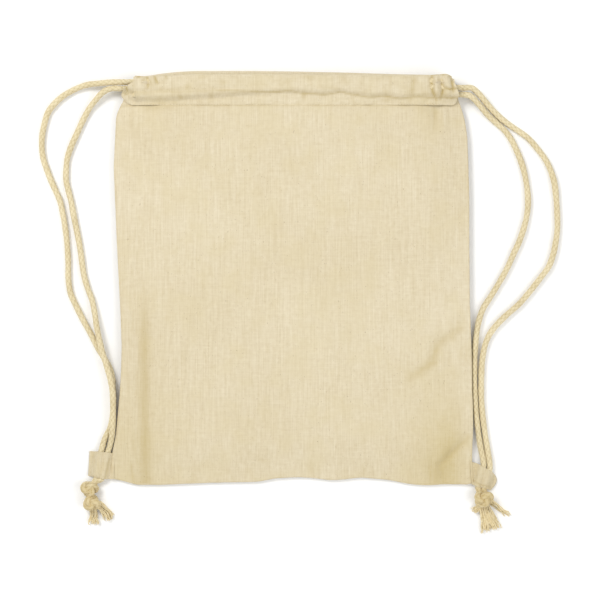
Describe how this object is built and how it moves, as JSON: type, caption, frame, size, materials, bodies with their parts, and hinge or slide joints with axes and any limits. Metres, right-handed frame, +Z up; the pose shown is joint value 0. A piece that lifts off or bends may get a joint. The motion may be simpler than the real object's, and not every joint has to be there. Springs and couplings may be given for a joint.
{
  "type": "drawstring backpack",
  "caption": "Flat cotton drawstring backpack: a sewn pouch whose cased mouth is drawn shut by two braided cords that also form the shoulder straps.",
  "frame": {"origin": "on the surface the bag lies on, under the middle of the fabric pieces' bounding box", "axes": "+Y from the bottom seam to the mouth, +Z up out of the front panel, +X to the right seen from above"},
  "size_m": [0.5236, 0.4637, 0.0225],
  "materials": {
    "calico": "matte plain weave",
    "cotton_cord": "matte solid braid",
    "sewing_thread": "matte"
  },
  "bodies": {
    "bag": {"front_panel": "calico", "rear_panel": "calico", "front_casing": "calico", "rear_casing": "calico", "left_side_seam": "calico", "right_side_seam": "calico", "bottom_seam": "calico", "front_hem_thread": "sewing_thread", "rear_hem_thread": "sewing_thread", "left_cord_front_near_run": "cotton_cord", "left_cord_front_far_run": "cotton_cord", "left_cord_rear_near_run": "cotton_cord", "left_cord_rear_far_run": "cotton_cord", "right_cord_front_near_run": "cotton_cord", "right_cord_front_far_run": "cotton_cord", "right_cord_rear_near_run": "cotton_cord", "right_cord_rear_far_run": "cotton_cord"},
    "left_mouth": {"left_front_tack": "sewing_thread", "left_rear_tack": "sewing_thread", "right_cord_turn": "cotton_cord"},
    "right_mouth": {"right_front_tack": "sewing_thread", "right_rear_tack": "sewing_thread", "left_cord_turn": "cotton_cord"},
    "left_strap": {"left_tab": "calico", "left_tab_stitch": "sewing_thread", "left_outer_strand": "cotton_cord", "left_inner_strand": "cotton_cord"},
    "right_strap": {"right_tab": "calico", "right_tab_stitch": "sewing_thread", "right_outer_strand": "cotton_cord", "right_inner_strand": "cotton_cord"},
    "left_cord_end": {"left_knot": "cotton_cord", "left_frayed_end_1": "cotton_cord", "left_frayed_end_2": "cotton_cord"},
    "right_cord_end": {"right_knot": "cotton_cord", "right_frayed_end_1": "cotton_cord", "right_frayed_end_2": "cotton_cord", "right_frayed_end_3": "cotton_cord"}
  },
  "joints": [
    {"name": "left_draw", "type": "slide", "parent": "bag", "child": "left_mouth", "axis": [1, 0, 0], "range_m": [0, 0.1], "deforming": ["front_panel", "rear_panel", "front_casing", "rear_casing", "front_hem_thread", "rear_hem_thread", "left_side_seam", "right_cord_front_far_run", "right_cord_rear_far_run"]},
    {"name": "right_draw", "type": "slide", "parent": "bag", "child": "right_mouth", "axis": [-1, 0, 0], "range_m": [0, 0.1], "deforming": ["right_side_seam", "left_cord_front_far_run", "left_cord_rear_far_run"]},
    {"name": "left_strap_swing", "type": "hinge", "parent": "bag", "child": "left_strap", "pos_m": [-0.1705, 0.1955, 0.0109], "axis": [0.0356, 0.9992, 0.0175], "range_deg": [0, 90]},
    {"name": "right_strap_swing", "type": "hinge", "parent": "bag", "child": "right_strap", "pos_m": [0.1705, 0.1898, 0.0109], "axis": [0.0348, -0.9992, -0.0174], "range_deg": [0, 90]},
    {"name": "left_knot_swing", "type": "hinge", "parent": "left_strap", "child": "left_cord_end", "pos_m": [-0.19615, -0.19681, 0.0042], "axis": [0, 0, 1], "range_deg": [-7, 20]},
    {"name": "right_knot_swing", "type": "hinge", "parent": "right_strap", "child": "right_cord_end", "pos_m": [0.19059, -0.20756, 0.0042], "axis": [0, 0, 1], "range_deg": [-20, 7]}
  ],
  "couplings": [
    {"joint": "right_draw", "follows": "left_draw", "ratio": 1}
  ]
}
